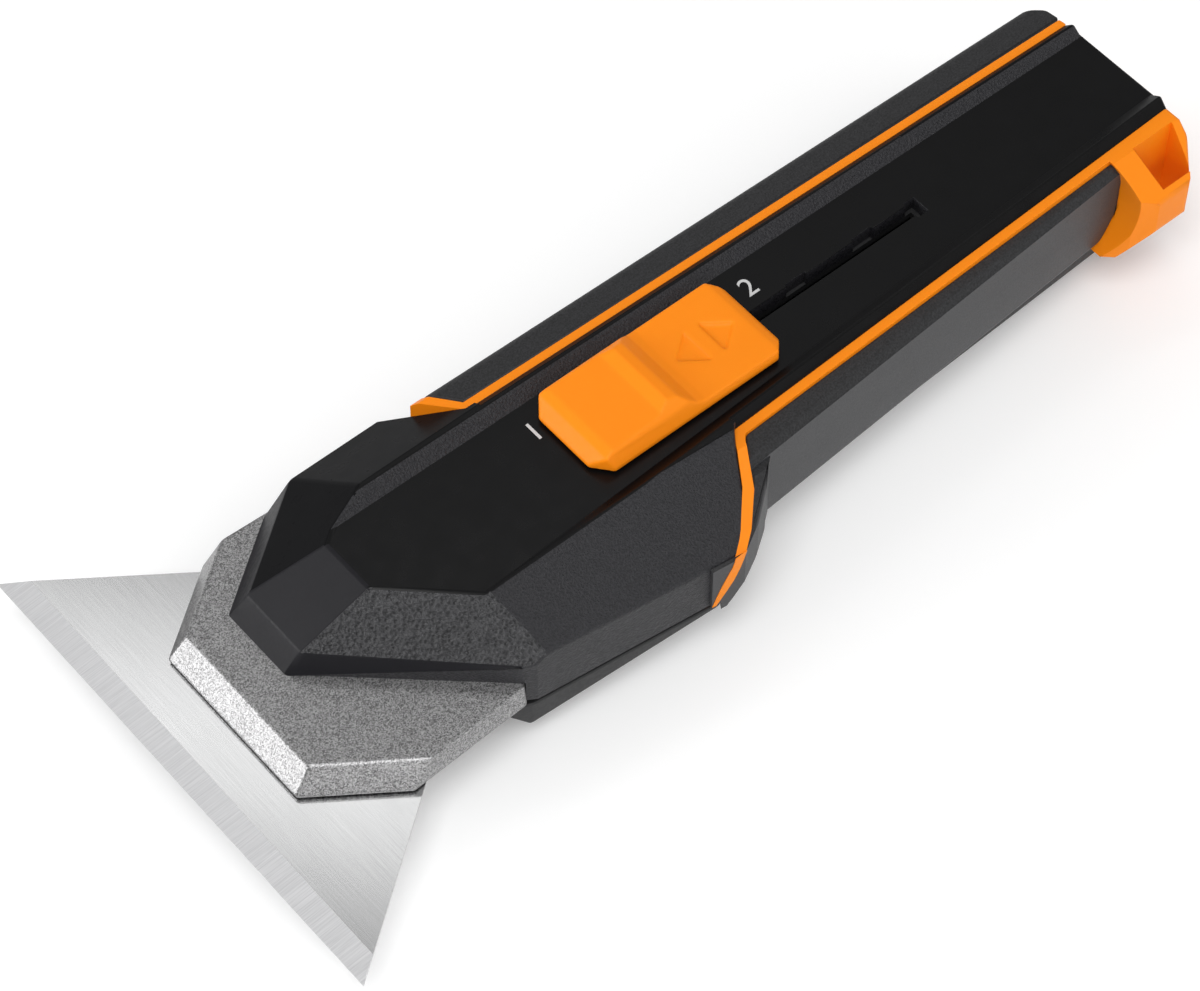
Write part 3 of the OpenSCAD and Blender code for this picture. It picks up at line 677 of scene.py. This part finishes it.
# %% [markdown]
# ## Screws
# The screws are alike but for their length, so one Geometry Nodes tree makes them all. A head is a
# cylinder with a cross cut out of it by a Boolean, a shank is a cylinder of length one that each point
# stretches by its own "reach". The points are read from the CAD screws, so the new ones can't drift from
# their bores. The result is made a plain mesh.

# %% Screws
SCREW_MM = {"Head Radius": 2.2, "Head Height": 1.5, "Shank Radius": 1.25, "Arm": 2.5, "Width": 0.62,
            "Depth": 0.9}
HEAD_SIDES, SHANK_SIDES = 48, 32


def screw_points(node):
    """A mesh with one point at the foot of each CAD screw, and the shank's reach at each."""
    shape = welded_shape(node)
    left, found = set(shape.verts), []
    while left:
        island, waiting = set(), [left.pop()]
        while waiting:
            vert = waiting.pop()
            island.add(vert)
            waiting += [w for e in vert.link_edges for w in e.verts if w in left]
            left -= set(waiting)
        low = Vector(min(v.co[i] for v in island) for i in range(3))
        high = Vector(max(v.co[i] for v in island) for i in range(3))
        foot = ((low.x + high.x) / 2, (low.y + high.y) / 2, low.z)
        found.append((foot, high.z - low.z - SCREW_MM["Head Height"] * MM))
    shape.free()
    found.sort()
    mesh = bpy.data.meshes.new(node + "_points")
    mesh.from_pydata([foot for foot, reach in found], [], [])
    mesh.attributes.new("reach", "FLOAT", "POINT").data.foreach_set("value", [reach for foot, reach in found])
    return mesh


def screw_tree():
    """Puts a head with a cross recess, and a shank, on each point."""
    tree = bpy.data.node_groups.new("cross_screws", "GeometryNodeTree")
    tree.interface.new_socket("Geometry", in_out="INPUT", socket_type="NodeSocketGeometry")
    for name in SCREW_MM:
        tree.interface.new_socket(name, in_out="INPUT", socket_type="NodeSocketFloat")
    tree.interface.new_socket("Finish", in_out="INPUT", socket_type="NodeSocketMaterial")
    tree.interface.new_socket("Geometry", in_out="OUTPUT", socket_type="NodeSocketGeometry")
    given = tree.nodes.new("NodeGroupInput").outputs

    def put(kind, settings=None, **sockets):
        return add(tree, "GeometryNode" + kind, settings, **sockets)

    def vector(x, y, z):
        return add(tree, "ShaderNodeCombineXYZ", X=x, Y=y, Z=z).outputs[0]

    half = add(tree, "ShaderNodeMath", {"operation": "MULTIPLY"})
    tree.links.new(given["Head Height"], half.inputs[0])
    half.inputs[1].default_value = 0.5
    head = put("MeshCylinder", Vertices=HEAD_SIDES, Radius=given["Head Radius"], Depth=given["Head Height"])
    head = put("Transform", Geometry=head.outputs["Mesh"], Translation=vector(0, 0, half.outputs[0]))
    arms = [put("MeshCube", Size=vector(x, y, given["Depth"])).outputs["Mesh"]
            for x, y in ((given["Arm"], given["Width"]), (given["Width"], given["Arm"]))]
    cut = put("MeshBoolean", {"operation": "DIFFERENCE", "solver": "EXACT"})
    tree.links.new(head.outputs["Geometry"], cut.inputs["Mesh 1"])
    for arm in arms:
        tree.links.new(arm, cut.inputs["Mesh 2"])
    heads = put("InstanceOnPoints", Points=given["Geometry"], Instance=cut.outputs["Mesh"])
    shank = put("MeshCylinder", Vertices=SHANK_SIDES, Radius=given["Shank Radius"], Depth=1.0)
    shank = put("Transform", Geometry=shank.outputs["Mesh"], Translation=(0, 0, 0.5))
    raised = put("SetPosition", Geometry=given["Geometry"], Offset=vector(0, 0, given["Head Height"]))
    reach = put("InputNamedAttribute", {"data_type": "FLOAT"}, Name="reach").outputs["Attribute"]
    shanks = put("InstanceOnPoints", Points=raised.outputs["Geometry"], Instance=shank.outputs["Geometry"],
                 Scale=vector(1, 1, reach))
    join = put("JoinGeometry")
    for part in (shanks, heads):
        tree.links.new(part.outputs["Instances"], join.inputs["Geometry"])
    real = put("RealizeInstances", Geometry=join.outputs["Geometry"])
    dyed = put("SetMaterial", Geometry=real.outputs["Geometry"], Material=given["Finish"])
    out = tree.nodes.new("NodeGroupOutput")
    tree.links.new(dyed.outputs["Geometry"], out.inputs["Geometry"])
    return tree


def make_screws(node, tree):
    """Shows the tree's screws in place of a CAD node's."""
    piece = show(node + "_dressed", screw_points(node))
    grow = piece.modifiers.new("screws", "NODES")
    grow.node_group = tree
    values = {"Finish": finish["dark_steel"], **{name: size * MM for name, size in SCREW_MM.items()}}
    for socket in tree.interface.items_tree:
        if socket.in_out == "INPUT" and socket.name in values:
            grow[socket.identifier] = values[socket.name]
    grown = plain_mesh(piece)
    piece.modifiers.clear()
    piece.data = grown
    stand_for(piece, node)


cross_screws = screw_tree()
for node in ("housing_screws", "plate_screws"):
    make_screws(node, cross_screws)

# %% [markdown]
# ## Printed numbers
# Two plain numbers are printed on the panel, 1 and 2, for the slider's two places. Each is a text curve,
# made a mesh and laid on the panel, two hundredths of a millimetre thick.

# %% Printed numbers
NUMBERS = {"1": (15.6, -2.6), "2": (-13.4, -2.6)}
CAP_MM = 3.4
PRINT_MM = 0.02


def printed_white():
    material, tree, shader, place = start_material("printed_white", Specular_IOR_Level=0.3)
    colour(tree, shader, noise(tree, place, 0.3, detail=3), (0.5, 0.5, 0.5), (0.66, 0.66, 0.66))
    gloss(tree, shader, noise(tree, place, 0.6), 0.5, 0.62)
    bump(tree, shader, noise(tree, place, 0.15), 0.004, 0.5)
    return material


def print_number(number, x, y):
    curve = bpy.data.curves.new("number_" + number, "FONT")
    curve.body = number
    curve.size = CAP_MM * MM
    curve.align_x, curve.align_y = "CENTER", "CENTER"
    curve.extrude = PRINT_MM / 2 * MM
    drawn = show("number_curve_" + number, curve)
    mesh = plain_mesh(drawn)
    bpy.data.objects.remove(drawn)
    middle = Vector((x, y, PANEL_TOP + PRINT_MM / 2)) * MM
    mesh.transform(Matrix.Translation(middle) @ Matrix.Rotation(math.pi, 4, "Z"))
    mesh.materials.clear()
    mesh.materials.append(finish["printed_white"])
    printed = show("number_" + number, mesh)
    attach(printed, "housing")
    print("number", number, "printed with", len(mesh.polygons), "faces")


finish["printed_white"] = printed_white()
for number, (x, y) in NUMBERS.items():
    print_number(number, x, y)

# %% [markdown]
# ## Mechanism
# The pieces inside are rarely seen, but they show through the slit, the slot and the screw holes. The
# CAD nodes keep their own meshes and take a finish in their material slots.

# %% Mechanism
INNER = {
    "plated_steel": ["pivot_pin", "crank_pin", "blade_magnet", "drive_bar", "bar_rivets", "slider_pin",
                     "detent_spring", "spring_rivet"],
    "matte_base": ["thrust_washer", "slide_carriage", "detent_plate"],
    "dark_steel": ["blade_carrier"],
}
for name, nodes in INNER.items():
    for node in nodes:
        for slot in frame["nodes"][node].material_slots:
            slot.material = finish[name]
    print(name, "on", ", ".join(nodes))

# %% [markdown]
# ## Floor and light
# A pale floor and five soft lamps, as in a product studio. The key lamp hangs above and gives most of the
# light. A narrow one opposite the camera draws the bright band on the blade, a low one in front lights
# the plate's front bevel, and two more brighten the rims and the right-hand side. The room is dim, so the
# polished panel mirrors little and reads as black. The floor glows a little where it is seen, which makes
# it white, and still takes the tool's shadow.

# %% Floor and light
FLOOR_HALF = 3.0
FLOOR_Z = -0.0002
FLOOR_GREY = 0.93
FLOOR_GLOW = 0.14
ROOM_STRENGTH = 0.42
WHITE = (1, 1, 1, 1)
# Each lamp: its direction from the tool, its distance in metres, its size and its radiance
LAMPS = {
    "key_softbox": ((0.3, 0.25, 0.92), 1.3, (0.7, 0.7), 4.8),
    "blade_softbox": ((-0.16, -0.42, 0.84), 0.8, (0.44, 0.08), 1.95),
    "bevel_softbox": ((0.875, -0.44, 0.24), 0.9, (0.5, 0.4), 6.0),
    "rim_softbox": ((-0.33, 0.62, 0.71), 1.2, (0.6, 0.6), 1.5),
    "right_softbox": ((0.4, 0.85, 0.32), 1.2, (0.8, 0.4), 2.5),
}


def either(tree, first, second):
    """The larger of two outputs."""
    made = add(tree, "ShaderNodeMath", {"operation": "MAXIMUM"})
    tree.links.new(first, made.inputs[0])
    tree.links.new(second, made.inputs[1])
    return made.outputs[0]


def make_floor():
    mesh = bpy.data.meshes.new("floor")
    corners = [(-1, -1), (1, -1), (1, 1), (-1, 1)]
    mesh.from_pydata([(x * FLOOR_HALF, y * FLOOR_HALF, FLOOR_Z) for x, y in corners], [], [(0, 1, 2, 3)])
    material, tree, shader, _ = start_material("pale_floor", Roughness=0.9, Emission_Color=WHITE)
    shader.inputs["Base Color"].default_value = (FLOOR_GREY, FLOOR_GREY, FLOOR_GREY, 1)
    path = add(tree, "ShaderNodeLightPath").outputs
    mirrored = either(tree, path["Is Glossy Ray"], path["Is Transmission Ray"])
    seen = either(tree, path["Is Camera Ray"], mirrored)
    tree.links.new(ramp(tree, seen, FULL_RANGE, 0, FLOOR_GLOW), shader.inputs["Emission Strength"])
    mesh.materials.append(material)
    floor = show("floor", mesh)


def make_world():
    world = bpy.data.worlds.new("studio")
    world.use_nodes = True
    room = world.node_tree.nodes["Background"]
    room.inputs["Color"].default_value = WHITE
    room.inputs["Strength"].default_value = ROOM_STRENGTH
    scene.world = world


def softbox(name, toward, away, size, radiance):
    """A rectangular lamp that faces the tool, of an even radiance, in the direction given."""
    at = Vector(toward).normalized() * away
    data = bpy.data.lights.new(name, "AREA")
    data.shape = "RECTANGLE"
    data.size, data.size_y = size
    data.energy = radiance * math.pi * size[0] * size[1]
    lamp = show(name, data)
    lamp.location = at
    lamp.rotation_euler = (-at).to_track_quat("-Z", "Y").to_euler()
    lamp.visible_camera = False


make_floor()
make_world()
for name, settings in LAMPS.items():
    softbox(name, *settings)
print("floor, world and", len(LAMPS), "lamps ready")
